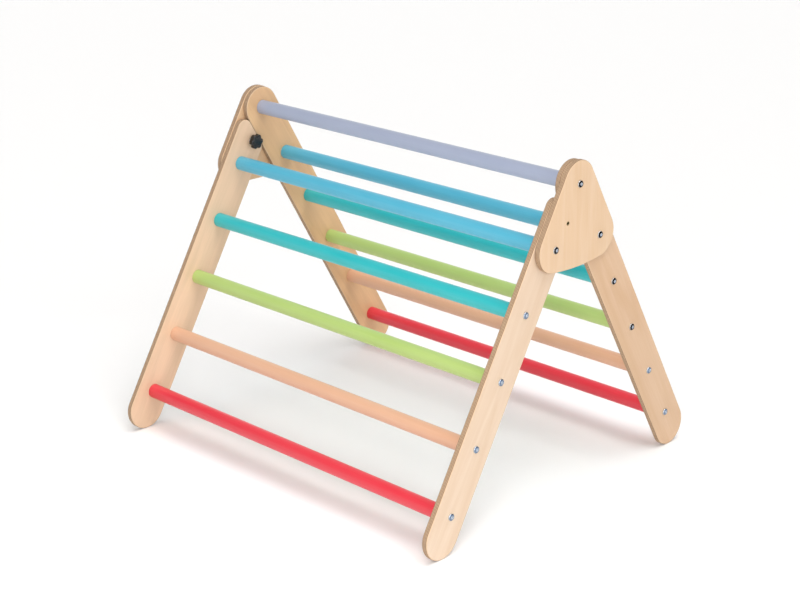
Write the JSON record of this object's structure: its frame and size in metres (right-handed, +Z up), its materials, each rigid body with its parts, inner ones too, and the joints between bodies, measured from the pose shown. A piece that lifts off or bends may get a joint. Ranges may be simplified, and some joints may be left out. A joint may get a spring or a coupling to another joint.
{
  "type": "folding climbing triangle",
  "caption": "Folding A-frame climbing triangle: two plywood-sided ladders of painted round rungs joined by pivoting head plates and clamp knobs.",
  "frame": {"origin": "on the floor, in the middle of the footprint", "axes": "+Z up, +Y along the rungs, -X towards the ladder that folds"},
  "size_m": [0.7873, 0.896, 0.6837],
  "materials": {
    "birch_plywood": "clear matt varnish, plies showing on the edges",
    "lavender_paint": "satin paint on beech",
    "blue_paint": "satin paint on beech",
    "turquoise_paint": "satin paint on beech",
    "green_paint": "satin paint on beech",
    "peach_paint": "satin paint on beech",
    "red_paint": "satin paint on beech",
    "zinc_plated_steel": "bright zinc",
    "brass_sleeve": "machined",
    "nylon": "natural",
    "black_plastic": "moulded satin"
  },
  "bodies": {
    "rear_frame": {"right_head_plate": "birch_plywood", "left_head_plate": "birch_plywood", "right_rear_leg": "birch_plywood", "left_rear_leg": "birch_plywood", "top_rung": "lavender_paint", "rear_rung_1": "blue_paint", "rear_rung_2": "turquoise_paint", "rear_rung_3": "green_paint", "rear_rung_4": "peach_paint", "rear_rung_5": "red_paint", "rear_rung_inserts": "brass_sleeve", "head_plate_bolts": "zinc_plated_steel", "rear_leg_bolts": "zinc_plated_steel", "pivot_bushes": "nylon", "lock_sleeves": "brass_sleeve"},
    "front_frame": {"right_front_leg": "birch_plywood", "left_front_leg": "birch_plywood", "front_rung_1": "blue_paint", "front_rung_2": "turquoise_paint", "front_rung_3": "green_paint", "front_rung_4": "peach_paint", "front_rung_5": "red_paint", "front_rung_inserts": "brass_sleeve", "front_leg_bolts": "zinc_plated_steel", "pivot_bolts": "zinc_plated_steel", "pivot_washers": "nylon"},
    "right_washer": {"right_knob_washer": "zinc_plated_steel"},
    "right_knob": {"right_lock_knob": "black_plastic", "right_knob_stud": "zinc_plated_steel"},
    "left_washer": {"left_knob_washer": "zinc_plated_steel"},
    "left_knob": {"left_lock_knob": "black_plastic", "left_knob_stud": "zinc_plated_steel"}
  },
  "joints": [
    {"name": "front_fold", "type": "hinge", "parent": "rear_frame", "child": "front_frame", "pos_m": [-0.06588, 0, 0.52712], "axis": [0, -1, 0], "range_deg": [0, 63]},
    {"name": "right_knob_turn", "type": "hinge", "parent": "front_frame", "child": "right_washer", "pos_m": [-0.03111, -0.4194, 0.57048], "axis": [0, 1, 0], "range_deg": [0, 2880]},
    {"name": "right_knob_travel", "type": "slide", "parent": "right_washer", "child": "right_knob", "axis": [0, 1, 0], "range_m": [0, 0.008]},
    {"name": "left_knob_turn", "type": "hinge", "parent": "front_frame", "child": "left_washer", "pos_m": [-0.03111, 0.4194, 0.57048], "axis": [0, -1, 0], "range_deg": [0, 2880]},
    {"name": "left_knob_travel", "type": "slide", "parent": "left_washer", "child": "left_knob", "axis": [0, -1, 0], "range_m": [0, 0.008]}
  ],
  "couplings": [
    {"joint": "right_knob_turn", "follows": "right_knob_travel", "rad_per_m": 6283.2},
    {"joint": "left_knob_turn", "follows": "left_knob_travel", "rad_per_m": 6283.2}
  ]
}
